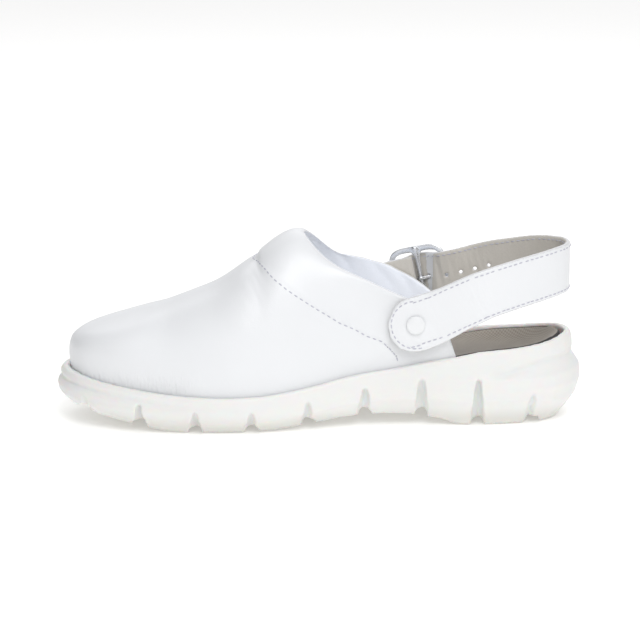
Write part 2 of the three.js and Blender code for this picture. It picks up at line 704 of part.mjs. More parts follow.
function stationAt(x, side) {
  const { point, inward } = outlineAt(sampleAt(x, side));
  point.x = x;
  return { x, side, point, inward };
}

function strapHeight(x, side) {
  return column(STRAP_ROUTE, side > 0 ? "inner" : "outer", x / LENGTH) * STRAP_HEIGHT;
}

// A point beside the shoe, out from the wall's reach
function beside(x, side, out) {
  return new THREE.Vector3(x, side * (sideReach(x, side) + out), strapHeight(x, side));
}

const ON_WALL = GAP + STRAP_THICKNESS / 2;
const ON_TAB = ON_WALL + STRAP_THICKNESS + GAP;
const BAR_OUT = GAP * 2 + STRAP_THICKNESS + GAP + PRONG_EYE + BUCKLE_BAR / 2;
const OVER_BAR = BAR_OUT + BUCKLE_BAR / 2 + PRONG_EYE + 4 * GAP + STRAP_THICKNESS / 2;
const REAR_RAIL_OUT = GAP * 2 + STRAP_THICKNESS + BUCKLE_THICKNESS / 2;
const FRONT_RAIL_OUT = ON_TAB + STRAP_THICKNESS / 2 + GAP + BUCKLE_THICKNESS / 2;

// Middle line of the strap, from its riveted end round the heel and through the buckle
function strapCurve() {
  const points = [];
  for (const share of [0.93, 0.5, 0, -0.6]) {
    points.push(beside(RIVET_INNER + share * STRAP_END_RADIUS, 1, ON_WALL));
  }
  const loop = STRAP_ROUTE.filter((row) => row.at * LENGTH < QUARTER_END);
  const place = (row, side) => {
    const z = row[side > 0 ? "inner" : "outer"] * STRAP_HEIGHT;
    return new THREE.Vector3(row.at * LENGTH, side * row.half * HEEL_WIDTH, z);
  };
  points.push(...loop.map((row) => place(row, 1)).reverse());
  points.push(...loop.filter((row) => row.half > 0).map((row) => place(row, -1)));
  const rail = BUCKLE_LENGTH / 2;
  points.push(beside(BAR - rail, -1, ON_WALL));
  points.push(beside(BAR - rail * 0.6, -1, THREE.MathUtils.lerp(ON_WALL, OVER_BAR, 0.06)));
  points.push(beside(BAR - rail * 0.25, -1, THREE.MathUtils.lerp(ON_WALL, OVER_BAR, 0.8)));
  points.push(beside(BAR, -1, OVER_BAR));
  points.push(beside(BAR + rail * 0.27, -1, THREE.MathUtils.lerp(ON_TAB, OVER_BAR, 0.8)));
  points.push(beside(BAR + rail * 0.6, -1, THREE.MathUtils.lerp(ON_TAB, OVER_BAR, 0.03)));
  points.push(beside(BAR + rail, -1, ON_TAB));
  points.push(beside(STRAP_TIP, -1, ON_TAB));
  return new THREE.CatmullRomCurve3(points, false, "centripetal");
}

// Ribbon along a curve. halfAt(distance, whole) is its half-width, and end caps are flat.
function ribbon(path, steps, halfAt) {
  const whole = path.getLength();
  const rings = [];
  for (let s = 0; s <= steps; s += 1) {
    const share = s / steps;
    const centre = path.getPointAt(share);
    const along = path.getTangentAt(share);
    const across = new THREE.Vector3(0, 0, 1).addScaledVector(along, -along.z).normalize();
    const out = new THREE.Vector3().crossVectors(along, across);
    const half = halfAt(share * whole, whole);
    const round = STRAP_THICKNESS * 0.28;
    const corner = (up, away) =>
      centre.clone().addScaledVector(across, up).addScaledVector(out, away);
    const thick = STRAP_THICKNESS / 2;
    rings.push([
      corner(half, thick - round),
      corner(half - round, thick),
      corner(round - half, thick),
      corner(-half, thick - round),
      corner(-half, round - thick),
      corner(round - half, -thick),
      corner(half - round, -thick),
      corner(half, round - thick),
    ]);
  }
  return loft([capOf(rings[0]), ...rings, capOf(rings[rings.length - 1])]);
}

// Half-width of a strap that ends in a round lobe about a rivet
function lobeHalf(distance, rivetAt, lobe) {
  const beyond = rivetAt - distance;
  if (beyond > 0) return Math.sqrt(Math.max(lobe * lobe - beyond * beyond, TIP_HALF ** 2));
  const settle = THREE.MathUtils.smoothstep(-beyond, 0, STRAP_WIDTH);
  return THREE.MathUtils.lerp(lobe, STRAP_WIDTH / 2, settle);
}

// Length along a curve at which it comes nearest to a point
function nearestOn(path, point) {
  const steps = 400;
  let best = 0;
  let least = Infinity;
  path.getSpacedPoints(steps).forEach((p, i) => {
    const distance = p.distanceTo(point);
    if (distance < least) {
      least = distance;
      best = i / steps;
    }
  });
  return best;
}

// Frame of a strap at a share of its length: along, across and outward
function strapFrame(path, share) {
  const along = path.getTangentAt(share);
  const across = new THREE.Vector3(0, 0, 1).addScaledVector(along, -along.z).normalize();
  return { centre: path.getPointAt(share), along, across };
}

// Round bar between two points, as a solid
function rod(from, to, diameter, sides = ROUND_SIDES) {
  const axis = to.clone().sub(from);
  const geometry = new THREE.CylinderGeometry(diameter / 2, diameter / 2, axis.length(), sides);
  const up = new THREE.Vector3(0, 1, 0);
  geometry.applyQuaternion(new THREE.Quaternion().setFromUnitVectors(up, axis.normalize()));
  const middle = from.clone().add(to).multiplyScalar(0.5);
  geometry.translate(middle.x, middle.y, middle.z);
  return solidOf(geometry);
}

// Rivets: where each crosses the wall, and the direction out of the shoe there
function rivetAxis(x, side) {
  const outside = beside(x, side, ON_WALL + STRAP_THICKNESS / 2);
  const ahead = beside(x + RIVET_SHANK, side, ON_WALL);
  const behind = beside(x - RIVET_SHANK, side, ON_WALL);
  const along = ahead.sub(behind).normalize();
  const out = new THREE.Vector3(-along.y * side, along.x * side, 0).normalize();
  const radius = RIVET_CAP * WASHER_SHARE * 0.5;
  let depth = 0;
  for (const [dx, dz] of [[0, 0], [radius, 0], [-radius, 0], [0, radius], [0, -radius]]) {
    const inside = innerFaceAt(x + dx, side, outside.z + dz);
    depth = Math.max(depth, outside.clone().sub(inside).dot(out));
  }
  return { outside, out, depth };
}

// Point of the wall's inner face at x and a height
function innerFaceAt(x, side, z) {
  const station = stationAt(x, side);
  const foot = rimAt(station.point);
  const edge = ribTarget(station, 0, insetPoint(station, rimInset(station) + GAP, foot)).z;
  return wallPoint(station, (z - foot) / (edge - foot), 0, WALL);
}

// Washer, shank and domed cap of a rivet, turned about its axis. depth is how far the wall's
// inner face lies below the strap's outer face.
function rivetGeometry(depth) {
  const cap = RIVET_CAP / 2;
  const shank = RIVET_SHANK / 2;
  const washer = cap * WASHER_SHARE;
  const seat = -depth - 2 * GAP;
  const profile = [
    [0, seat - WASHER_THICKNESS],
    [washer, seat - WASHER_THICKNESS],
    [washer, seat],
    [shank, seat],
    [shank, GAP],
    [cap, GAP],
    [cap, GAP + RIVET_CAP_HEIGHT * 0.45],
    [cap * 0.86, GAP + RIVET_CAP_HEIGHT * 0.85],
    [0, GAP + RIVET_CAP_HEIGHT],
  ];
  return new THREE.LatheGeometry(profile.map(([r, h]) => new THREE.Vector2(r, h)), ROUND_SIDES);
}

function shankHole(axis) {
  const from = axis.outside.clone().addScaledVector(axis.out, -axis.depth - RIVET_CAP);
  const to = axis.outside.clone().addScaledVector(axis.out, RIVET_CAP);
  return rod(from, to, RIVET_SHANK + 2 * GAP);
}

// Buckle space: along the strap from the bar, across it, and out from the wall
function buckleSpace() {
  const bar = beside(BAR, -1, 0);
  const ahead = beside(BAR + BUCKLE_LENGTH / 2, -1, 0);
  const behind = beside(BAR - BUCKLE_LENGTH / 2, -1, 0);
  const along = ahead.clone().sub(behind).normalize();
  const across = new THREE.Vector3(0, 0, 1).addScaledVector(along, -along.z).normalize();
  const out = new THREE.Vector3().crossVectors(along, across);
  if (out.y > 0) out.negate();
  return (a, b, c) =>
    bar.clone().addScaledVector(along, a).addScaledVector(across, b).addScaledVector(out, c);
}

// How far out the frame's rails lie, at a place along the buckle
function railOut(along) {
  const share = along / BUCKLE_LENGTH + 0.5;
  const arch = Math.sin(Math.PI * THREE.MathUtils.clamp(share, 0, 1)) * BUCKLE_THICKNESS * 0.5;
  return THREE.MathUtils.lerp(REAR_RAIL_OUT, FRONT_RAIL_OUT, share) + arch;
}

function buckleGeometry(space) {
  const width = STRAP_WIDTH + 2 * BUCKLE_CLEARANCE + BUCKLE_RAIL;
  const length = BUCKLE_LENGTH - BUCKLE_RAIL;
  const corner = width * 0.2;
  const shape = new THREE.Path();
  const x = length / 2;
  const y = width / 2;
  shape.moveTo(x, 0);
  shape.lineTo(x, y - corner);
  shape.quadraticCurveTo(x, y, x - corner, y);
  shape.lineTo(corner - x, y);
  shape.quadraticCurveTo(-x, y, -x, y - corner);
  shape.lineTo(-x, corner - y);
  shape.quadraticCurveTo(-x, -y, corner - x, -y);
  shape.lineTo(x - corner, -y);
  shape.quadraticCurveTo(x, -y, x, corner - y);
  shape.closePath();
  const steps = FRAME_STEPS;
  const points = shape.getSpacedPoints(steps).slice(0, steps);
  const rings = points.map((p, i) => {
    const next = points[(i + 1) % steps];
    const last = points[(i + steps - 1) % steps];
    const along = next.clone().sub(last).normalize();
    const side = new THREE.Vector2(along.y, -along.x);
    const level = railOut(p.x);
    const at = (r, t) => {
      const q = p.clone().addScaledVector(side, r);
      return space(q.x, q.y, level + t);
    };
    const r = BUCKLE_RAIL / 2;
    const t = BUCKLE_THICKNESS / 2;
    return [at(-r, 0), at(-r * 0.5, t), at(r * 0.5, t), at(r, 0), at(r, -t), at(-r, -t)];
  });
  const frame = solidOf(loft([...rings, rings[0]]));
  const level = railOut(0);
  const bar = rod(space(0, -y, BAR_OUT), space(0, y, BAR_OUT), BUCKLE_BAR);
  const postFoot = BAR_OUT - BUCKLE_BAR / 2;
  const post = (b) => rod(space(0, b, postFoot), space(0, b, level), BUCKLE_RAIL * 0.8);
  return frame.add(bar).add(post(y)).add(post(-y));
}

function prongSolid(space, extra = 0) {
  const eye = BUCKLE_BAR / 2 + GAP + PRONG_EYE;
  const half = PRONG_WIDTH / 2;
  const ring = rod(space(0, -half, BAR_OUT), space(0, half, BAR_OUT), 2 * eye + 2 * extra, 18);
  const tip = -BUCKLE_LENGTH / 2 - PRONG_WIDTH / 2;
  const rest = railOut((BUCKLE_RAIL - BUCKLE_LENGTH) / 2) + BUCKLE_THICKNESS / 2 + 2 * GAP + half;
  const start = space(-eye * 0.7, 0, BAR_OUT);
  const tine = rod(start, space(tip, 0, rest), PRONG_WIDTH + 2 * extra, 10);
  const hole = rod(space(0, -half * 2, BAR_OUT), space(0, half * 2, BAR_OUT), BUCKLE_BAR + 2 * GAP);
  return extra > 0 ? tine : ring.add(tine).subtract(hole);
}

function heelStrap(path, space) {
  const whole = path.getLength();
  const rivetAt = nearestOn(path, beside(RIVET_INNER, 1, ON_WALL)) * whole;
  const tipRadius = STRAP_WIDTH / 2;
  const half = (distance) => {
    const left = whole - distance;
    if (left >= tipRadius * 0.5) return lobeHalf(distance, rivetAt, STRAP_END_RADIUS);
    const share = 1 - left / (tipRadius * 0.5);
    return Math.max(tipRadius * Math.sqrt(1 - share * share * 0.85), TIP_HALF);
  };
  let solid = solidOf(ribbon(path, STRAP_STEPS, half));
  const prongAt = nearestOn(path, beside(BAR - BUCKLE_LENGTH / 4, -1, ON_TAB)) * whole;
  for (let h = 1; h < STRAP_HOLE_COUNT; h += 1) {
    const { centre, along, across } = strapFrame(path, (prongAt - h * STRAP_HOLE_PITCH) / whole);
    const out = new THREE.Vector3().crossVectors(along, across).multiplyScalar(STRAP_THICKNESS);
    solid = solid.subtract(rod(centre.clone().sub(out), centre.clone().add(out), STRAP_HOLE, 10));
  }
  return solid.subtract(prongSolid(space, GAP));
}

// Tab that carries the buckle, riveted to the outer side of the upper
function buckleTab() {
  const points = [];
  const last = RIVET_OUTER + STRAP_WIDTH / 2;
  const first = BAR + BUCKLE_BAR;
  for (let s = 0; s <= 6; s += 1) {
    points.push(beside(THREE.MathUtils.lerp(last, first, s / 6), -1, ON_WALL));
  }
  const path = new THREE.CatmullRomCurve3(points, false, "centripetal");
  const whole = path.getLength();
  const rivetAt = nearestOn(path, beside(RIVET_OUTER, -1, ON_WALL)) * whole;
  const half = (distance) => lobeHalf(distance, rivetAt, STRAP_WIDTH / 2);
  return solidOf(ribbon(path, TAB_STEPS, half));
}

function material(color, roughness, metalness = 0) {
  return new THREE.MeshStandardMaterial({ color, roughness, metalness });
}

const soleMaterial = material(0xeeefe9, 0.5);
const leatherMaterial = material(0xf4f5f6, 0.42);
const metalMaterial = material(0xb9bcc2, 0.3, 0.9);
const insoleMaterial = material(0xa59d92, 0.95);

// Places each piece so that the origin lies under the middle of the shoe
const shoe = new THREE.Group();
const sideways = samples.map((p) => p.y);
shoe.position.set(-LENGTH / 2, -(Math.max(...sideways) + Math.min(...sideways)) / 2, 0);

function add(name, geometry, finish) {
  const mesh = new THREE.Mesh(geometry, finish);
  mesh.name = name;
  shoe.add(mesh);
  return mesh;
}

add("sole", soleGeometry(), soleMaterial);
add("insole", insoleGeometry(), insoleMaterial);

const innerRivet = rivetAxis(RIVET_INNER, 1);
const outerRivet = rivetAxis(RIVET_OUTER, -1);
const buckle = buckleSpace();
const shankHoles = [shankHole(innerRivet), shankHole(outerRivet)];
const drilled = (solid) =>
  geometryOf(shankHoles.reduce((rest, hole) => rest.subtract(hole), solid));
add("upper", drilled(solidOf(upperGeometry())), leatherMaterial);
add("heel_strap", drilled(heelStrap(strapCurve(), buckle)), leatherMaterial);
add("buckle_tab", drilled(buckleTab()), leatherMaterial);
add("buckle_frame", geometryOf(buckleGeometry(buckle)), metalMaterial);
add("buckle_prong", geometryOf(prongSolid(buckle)), metalMaterial);

const addRivet = (name, axis) => {
  const mesh = add(name, rivetGeometry(axis.depth), leatherMaterial);
  mesh.position.copy(axis.outside);
  mesh.quaternion.setFromUnitVectors(new THREE.Vector3(0, 1, 0), axis.out);
};
addRivet("rivet_inner", innerRivet);
addRivet("rivet_outer", outerRivet);

export default shoe;
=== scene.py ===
# White leather work clog for the right foot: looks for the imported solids.
# Metres. X runs forward to the toe, Y to the inner side, Z up from the floor.

import math

import bmesh
import bpy
from mathutils import Matrix, Vector
from mathutils.bvhtree import BVHTree
from mathutils.kdtree import KDTree


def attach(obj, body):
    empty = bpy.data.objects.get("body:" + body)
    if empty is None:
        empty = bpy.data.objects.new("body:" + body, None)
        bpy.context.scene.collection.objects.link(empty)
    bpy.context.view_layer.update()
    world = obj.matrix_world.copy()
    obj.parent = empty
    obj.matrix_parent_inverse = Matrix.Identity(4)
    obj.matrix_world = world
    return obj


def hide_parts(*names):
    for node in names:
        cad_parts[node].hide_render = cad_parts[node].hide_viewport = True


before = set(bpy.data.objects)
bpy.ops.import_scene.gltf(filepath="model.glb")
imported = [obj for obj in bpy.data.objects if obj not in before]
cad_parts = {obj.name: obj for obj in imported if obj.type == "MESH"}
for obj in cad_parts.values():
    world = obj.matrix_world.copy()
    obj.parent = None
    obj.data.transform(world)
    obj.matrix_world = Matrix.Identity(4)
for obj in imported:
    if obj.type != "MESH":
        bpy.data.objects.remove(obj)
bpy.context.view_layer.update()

MM = 0.001
BOTH = (1, -1)

# Sizes of the shoe
LENGTH = 288 * MM
HEEL_WIDTH = 73 * MM
HEEL_END = -LENGTH / 2
THROAT_HEIGHT = 106 * MM
STRAP_WIDTH = 27 * MM
STRAP_HEIGHT = 83.5 * MM
LOBE = 15.2 * MM  # radius of the strap's riveted end
MIDDLE = 1.3 * MM  # how far the shoe's middle line lies to the inner side
RIVET_AT = 0.319  # place of the inner rivet along the shoe
RIVET_LEVEL = 0.69  # its height as a share of the strap's
STRAP_TURN = math.atan2(-0.195, 1)  # fall of the strap at the inner rivet
LOOP_AT = 0.25  # middle of the strap's loop along the shoe

# Sewing
SEAM_PITCH = 3.5 * MM
STRAP_PITCH = 3.1 * MM
THREAD = 0.74 * MM
STITCH_HALF = 1.15 * MM
STITCH_STAND = 0.02 * MM  # of the strap's stitches, off the leather
SEAM_STAND = 0.05 * MM  # of the seam's stitches
SEAM_OFFSET = 1.5 * MM  # from the panel's edge to its row of stitches
HOLE_SIZE = (0.4 * MM, 0.4 * MM, 0.08 * MM)
EDGE_MARGIN = 2.1 * MM

# Insole: the share of its size that the footbed keeps, how far it lies up and how far its
# dark border of painted gap shadow reaches in
FOOTBED_FIT = (0.993, 0.975, 1)
FOOTBED_LIFT = 0.8 * MM
FOOTBED_BORDER = 2.2 * MM

# Fineness of the moulded sole's and the strap's surface
SOLE_GRAIN = 0.96 * MM
STRAP_GRAIN = 0.65 * MM

# Toe wrinkles: the point that they fan out from, and where they fade up the toe and back
FAN_POINT = 68 * MM
WRINKLE_LEVELS = (38 * MM, 22 * MM)
WRINKLE_REACH = (52 * MM, 84 * MM)

# Weave of the insole and ribs of the tread
WEAVE_PITCH = 1.9 * MM
RIB_PITCH = 5 * MM
RIB_DEPTH = 0.7 * MM
RIB_SHARE = 0.55
TREAD_HALF = 40 * MM


# Finishes
class Signal:
    """An output socket. Arithmetic on it adds Math nodes."""

    def __init__(self, finish, socket):
        self.finish = finish
        self.socket = socket

    def math(self, operation, *others):
        values = dict(enumerate((self, *others)))
        return self.finish.node("ShaderNodeMath", {"operation": operation}, values)

    def __add__(self, other):
        return self.math("ADD", other)

    __radd__ = __add__

    def __mul__(self, other):
        return self.math("MULTIPLY", other)

    __rmul__ = __mul__

    def __sub__(self, other):
        return self.math("SUBTRACT", other)

    def between(self, low, high):
        """0 below low, 1 above high, smooth between; low may be the larger."""
        values = {"Value": self, "From Min": low, "From Max": high}
        settings = {"interpolation_type": "SMOOTHSTEP"}
        return self.finish.node("ShaderNodeMapRange", settings, values)


class Finish:
    """A procedural material with one Principled shader."""

    def __init__(self, name, **uniform):
        self.material = bpy.data.materials.new(name)
        self.material.use_nodes = True
        self.tree = self.material.node_tree
        self.shader = self.tree.nodes["Principled BSDF"]
        for socket, value in uniform.items():
            self.shader.inputs[socket.replace("_", " ")].default_value = value

    def node(self, kind, settings=None, values=None, out=0):
        node = self.tree.nodes.new(kind)
        for key, value in (settings or {}).items():
            setattr(node, key, value)
        for key, value in (values or {}).items():
            self.feed(node.inputs[key], value)
        return Signal(self, node.outputs[out])

    def feed(self, socket, value):
        if isinstance(value, Signal):
            self.tree.links.new(value.socket, socket)
        elif isinstance(value, tuple) and len(value) == 3 and socket.type == "RGBA":
            socket.default_value = (*value, 1)
        else:
            socket.default_value = value

    def place(self):
        return self.node("ShaderNodeTexCoord", out="Object")

    def axes(self):
        parts = self.node("ShaderNodeSeparateXYZ", values={0: self.place()})
        outputs = parts.socket.node.outputs
        return [Signal(self, outputs[axis]) for axis in range(3)]

    def noise(self, scale, detail=2, roughness=0.5, vector=None):
        values = {"Scale": scale, "Detail": detail, "Roughness": roughness}
        values["Vector"] = vector or self.place()
        return self.node("ShaderNodeTexNoise", {"noise_dimensions": "3D"}, values)

    def cells(self, scale):
        values = {"Vector": self.place(), "Scale": scale}
        return self.node("ShaderNodeTexVoronoi", {"feature": "SMOOTH_F1"}, values)

    def mix(self, factor, first, second):
        settings = {"data_type": "RGBA"}
        node = self.node("ShaderNodeMix", settings, {"Factor": factor}, out=2).socket.node
        self.feed(node.inputs[6], first)
        self.feed(node.inputs[7], second)
        return Signal(self, node.outputs[2])

    def color(self, value):
        self.feed(self.shader.inputs["Base Color"], value)

    def rough(self, value):
        self.feed(self.shader.inputs["Roughness"], value)

    def bump(self, *heights):
        """Each height is a pair: a signal and its depth in metres."""
        normal = None
        for signal, depth in heights:
            values = {"Height": signal, "Distance": depth, "Strength": 1.0}
            if normal:
                values["Normal"] = normal
            normal = self.node("ShaderNodeBump", {}, values)
        self.feed(self.shader.inputs["Normal"], normal)


def leather(name, shade, wrinkled):
    finish = Finish(name, Coat_Weight=0.18, Coat_Roughness=0.22, IOR=1.48)
    cloud = finish.noise(26, 3)
    finish.color(finish.mix(cloud, tuple(0.975 * part for part in shade), shade))
    finish.rough(0.3 + 0.14 * finish.noise(180, 3))
    grain = finish.cells(1500)
    fine = finish.noise(900, 4, 0.6)
    heights = [(fine, 0.02 * MM), (grain, 0.035 * MM), (finish.noise(45, 3), 0.25 * MM)]
    if wrinkled:
        x, y, z = finish.axes()
        turn = (y - MIDDLE).math("ARCTAN2", x - FAN_POINT)
        low = z.between(*WRINKLE_LEVELS)
        front = x.between(*WRINKLE_REACH)
        round_toe = finish.node(
            "ShaderNodeCombineXYZ", values={"X": turn * 9, "Y": z * 36, "Z": 0.3}
        )
        pleats = finish.noise(4.2, 4, 0.62, round_toe)
        heights.append((pleats * low * front, 1.1 * MM))
    finish.bump(*heights)
    return finish.material


def padded_lining():
    # The lining's bluish emission is painted light: a glow that brightens the shaded inside of the
    # upper
    finish = Finish(
        "padded_lining", Sheen_Weight=0.3, Sheen_Roughness=0.5,
        Emission_Color=(0.9, 0.94, 1, 1), Emission_Strength=0.18,
    )
    cloud = finish.noise(60, 3)
    finish.color(finish.mix(cloud, (0.84, 0.875, 0.95), (0.9, 0.925, 0.98)))
    finish.rough(0.62 + 0.12 * cloud)
    knit = finish.cells(1400)
    finish.bump((knit, 0.08 * MM), (finish.noise(70, 2), 0.5 * MM))
    return finish.material


def strap_lining():
    finish = Finish("strap_lining", Sheen_Weight=0.15)
    nap = finish.noise(700, 5, 0.65)
    cloud = finish.noise(50, 2)
    tone = nap * 0.5 + cloud * 0.5
    finish.color(finish.mix(tone, (0.52, 0.49, 0.44), (0.68, 0.65, 0.6)))
    finish.rough(0.82 + 0.1 * nap)
    finish.bump((nap, 0.09 * MM), (finish.cells(1100), 0.05 * MM))
    return finish.material


def moulded_sole():
    finish = Finish(
        "moulded_sole", IOR=1.45, Coat_Weight=0.06, Coat_Roughness=0.4,
        Subsurface_Weight=0.35, Subsurface_Scale=5 * MM,
    )
    cloud = finish.noise(20, 3)
    height = finish.axes()[2]
    # Painted shade: below 12 mm the colour darkens towards (0.71, 0.7, 0.665), standing in for the
    # shade on the sole's downward-facing lower band
    low_band_shade = height.between(12 * MM, 3 * MM) * 0.75
    base = finish.mix(cloud, (0.81, 0.812, 0.795), (0.84, 0.842, 0.825))
    finish.color(finish.mix(low_band_shade, base, (0.71, 0.7, 0.665)))
    speck = finish.noise(1300, 3, 0.6)
    finish.rough(0.4 + 0.12 * speck)
    finish.bump((speck, 0.03 * MM), (finish.noise(120, 2), 0.12 * MM))
    return finish.material


def woven_insole():
    finish = Finish("woven_insole", Sheen_Weight=0.2)
    x, y, z = finish.axes()
    turns = 2 * math.pi / WEAVE_PITCH
    warp = (x * turns).math("SINE")
    weft = ((y + z * 0.8) * turns).math("SINE")
    weave = (warp * weft) * 0.5 + 0.5
    cloud = finish.noise(90, 4, 0.6)
    tone = weave * 0.55 + cloud * 0.45
    finish.color(finish.mix(tone, (0.17, 0.15, 0.125), (0.48, 0.43, 0.37)))
    finish.rough(0.88 + 0.08 * cloud)
    finish.bump((weave, 0.16 * MM), (finish.noise(1500, 3), 0.06 * MM))
    return finish.material


# Painted shadow: a near-black band on the insole's edge, standing in for the shadow in the gap
# between the insole and the sole's rim
def painted_gap_shadow():
    finish = Finish("painted_gap_shadow")
    shadow_mottle = finish.noise(1200, 3)
    finish.color(finish.mix(shadow_mottle, (0.03, 0.03, 0.032), (0.075, 0.072, 0.07)))
    finish.rough(0.85 + 0.1 * shadow_mottle)
    finish.bump((shadow_mottle, 0.08 * MM),)
    return finish.material


def bright_metal():
    finish = Finish("bright_metal", Metallic=1.0)
    streak = finish.noise(240, 3)
    finish.color(finish.mix(streak, (0.74, 0.76, 0.79), (0.86, 0.87, 0.89)))
    finish.rough(0.2 + 0.12 * streak)
    finish.bump((finish.noise(900, 3), 0.012 * MM),)
    return finish.material


def snap_cap():
    finish = Finish("snap_cap", Coat_Weight=0.3, Coat_Roughness=0.1)
    cloud = finish.noise(200, 2)
    finish.color(finish.mix(cloud, (0.8, 0.81, 0.82), (0.84, 0.85, 0.86)))
    finish.rough(0.26 + 0.1 * cloud)
    finish.bump((finish.noise(700, 2), 0.015 * MM),)
    return finish.material


def sewing_thread():
    finish = Finish("sewing_thread", Sheen_Weight=0.2)
    twist = finish.noise(2200, 3)
    finish.color(finish.mix(twist, (0.46, 0.46, 0.53), (0.62, 0.62, 0.69)))
    finish.rough(0.6 + 0.2 * twist)
    finish.bump((twist, 0.05 * MM),)
    return finish.material


def needle_hole():
    # Painted shade: the grey colour stands in for the shade inside a needle hole
    finish = Finish("needle_hole")
    depth = finish.noise(900, 2)
    finish.color(finish.mix(depth, (0.3, 0.3, 0.34), (0.42, 0.42, 0.46)))
    finish.rough(0.85 + 0.1 * depth)
    return finish.material


WHITE = (0.83, 0.84, 0.855)
LEATHER = leather("white_leather", WHITE, False)
VAMP = leather("lasted_leather", WHITE, True)
EDGE = leather("painted_edge", (0.72, 0.72, 0.73), False)
LINING = padded_lining()
STRAP_LINING = strap_lining()
SOLE = moulded_sole()
INSOLE = woven_insole()
GAP_SHADOW = painted_gap_shadow()
METAL = bright_metal()
CAP = snap_cap()
SEWING = sewing_thread()
HOLE = needle_hole()


# Ways of making
def only(piece):
    bpy.ops.object.select_all(action="DESELECT")
    piece.select_set(True)
    bpy.context.view_layer.objects.active = piece


def edited(piece, *steps):
    """Runs edit-mode operators on the whole piece."""
    only(piece)
    bpy.ops.object.mode_set(mode="EDIT")
    for step, options in steps:
        bpy.ops.mesh.select_all(action="SELECT")
        step(**options)
    bpy.ops.object.mode_set(mode="OBJECT")


def carried(node, name):
    """A merged copy of a CAD node, as quads where its triangles allow."""
    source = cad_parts[node]
    piece = source.copy()
    piece.data = source.data.copy()
    piece.name = name
    piece.parent = None
    piece.matrix_world = Matrix.Identity(4)
    bpy.context.collection.objects.link(piece)
    mesh = bpy.ops.mesh
    edited(
        piece,
        (mesh.remove_doubles, {"threshold": 0.005 * MM}),
        (mesh.tris_convert_to_quads, {"face_threshold": 0.7, "shape_threshold": 1.2}),
    )
    return piece


def modified(piece, kind, **settings):
    only(piece)
    bpy.ops.object.modifier_add(type=kind)
    modifier = piece.modifiers[-1]
    for key, value in settings.items():
        setattr(modifier, key, value)
    bpy.ops.object.modifier_apply(modifier=modifier.name)


def subdivided(piece, levels):
    modified(piece, "SUBSURF", levels=levels, render_levels=levels)


def smooth(piece, degrees=180):
    only(piece)
    bpy.ops.object.shade_smooth_by_angle(angle=math.radians(degrees))


def finished(piece, slot, *materials, replaces=(), pick=None):
    """Gives a piece its materials, pick(face) saying which a face has, and its body."""
    piece.data.materials.clear()
    for material in materials:
        piece.data.materials.append(material)
    if pick:
        for face in piece.data.polygons:
            face.material_index = pick(face)
    if replaces:
        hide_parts(*replaces)
    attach(piece, "root")
    return piece


def shaped(piece, rise):
    """Moves each point along its normal by rise(point, normal)."""
    only(piece)
    before = [(vertex.co.copy(), vertex.normal.copy()) for vertex in piece.data.vertices]
    moved = [point + normal * rise(point, normal) for point, normal in before]
    piece.data.vertices.foreach_set("co", [value for point in moved for value in point])
    piece.data.update()


def surface(piece):
    mesh = bmesh.new()
    mesh.from_mesh(piece.data)
    tree = BVHTree.FromBMesh(mesh)
    mesh.free()
    return tree


def part_y(y):
    return y + MIDDLE


def along_shoe(share):
    return HEEL_END + share * LENGTH


def near_path(x, z, path):
    """Distance from a point of the side to a path, and how far along it, from 0 to 1."""
    best = (1.0, 0.0)
    for index, (first, second) in enumerate(zip(path, path[1:])):
        start = Vector(first)
        run = Vector(second) - start
        share = (Vector((x, z)) - start).dot(run) / run.length_squared
        share = min(1.0, max(0.0, share))
        distance = (Vector((x, z)) - start - run * share).length
        if distance < best[0]:
            best = (distance, (index + share) / (len(path) - 1))
    return best


def pressed(point, lines):
    """How far a wall stands out at a point, from all the lines pressed into it."""
    rise = 0.0
    for line in lines:
        path = [(along_shoe(at), height * THROAT_HEIGHT) for at, height in line["path"]]
        width = line["width"] * MM
        distance, share = near_path(point.x, point.z, path)
        if distance > 3 * width:
            continue
        fade = math.sin(math.pi * (0.15 + 0.7 * share))
        rise -= line["depth"] * MM * fade * math.exp(-((distance / width) ** 2))
    return rise


# Sole
def soft_tread(point):
    """Fine ribs across the tread, shallower than the channels between its blocks."""
    if abs(point.y - MIDDLE) > TREAD_HALF:
        return 0.0
    wave = 0.5 + 0.5 * math.cos(2 * math.pi * point.x / RIB_PITCH)
    return -RIB_DEPTH * max(0.0, wave - RIB_SHARE) / (1 - RIB_SHARE)


# Lines pressed into the sole's wall: the step under the heel's rim and one round the toe
SOLE_LINES = [
    {"path": [(0.171, 0.272), (0.12, 0.300), (0.068, 0.334), (0.02, 0.345)], "width": 1.7,
     "depth": 1.1},
    {"path": [(1.0, 0.172), (0.958, 0.155), (0.892, 0.143), (0.84, 0.137)], "width": 1.3,
     "depth": 0.7},
]


def lined(point, normal):
    """The tread's ribs and the lines of the wall together."""
    if normal.z < -0.9:
        return soft_tread(point)
    return pressed(point, SOLE_LINES) if abs(normal.z) < 0.75 else 0.0


def moulded():
    piece = carried("sole", "moulded_sole")
    modified(piece, "REMESH", mode="VOXEL", voxel_size=SOLE_GRAIN, use_smooth_shade=True)
    modified(piece, "SMOOTH", factor=0.4, iterations=1)
    shaped(piece, lined)
    smooth(piece)
    return finished(piece, "sole", SOLE, replaces=["sole"])


# Insole
def bordering(piece):
    """Places along the insole's side wall, all round."""
    wall = [face.center for face in piece.data.polygons if face.normal.z < 0.55]
    tree = KDTree(len(wall))
    for index, center in enumerate(wall):
        tree.insert(center, index)
    tree.balance()
    return tree


def footbed():
    piece = carried("insole", "footbed")
    subdivided(piece, 2)
    edited(piece, (bpy.ops.transform.resize, {"value": FOOTBED_FIT}))
    edited(piece, (bpy.ops.transform.translate, {"value": (0, 0, FOOTBED_LIFT)}))
    smooth(piece, 50)
    border = bordering(piece)
    # Faces near the insole's side wall get the painted gap shadow
    pick = lambda face: 1 if border.find(face.center)[2] < FOOTBED_BORDER else 0
    return finished(piece, "insole", INSOLE, GAP_SHADOW, replaces=["insole"], pick=pick)


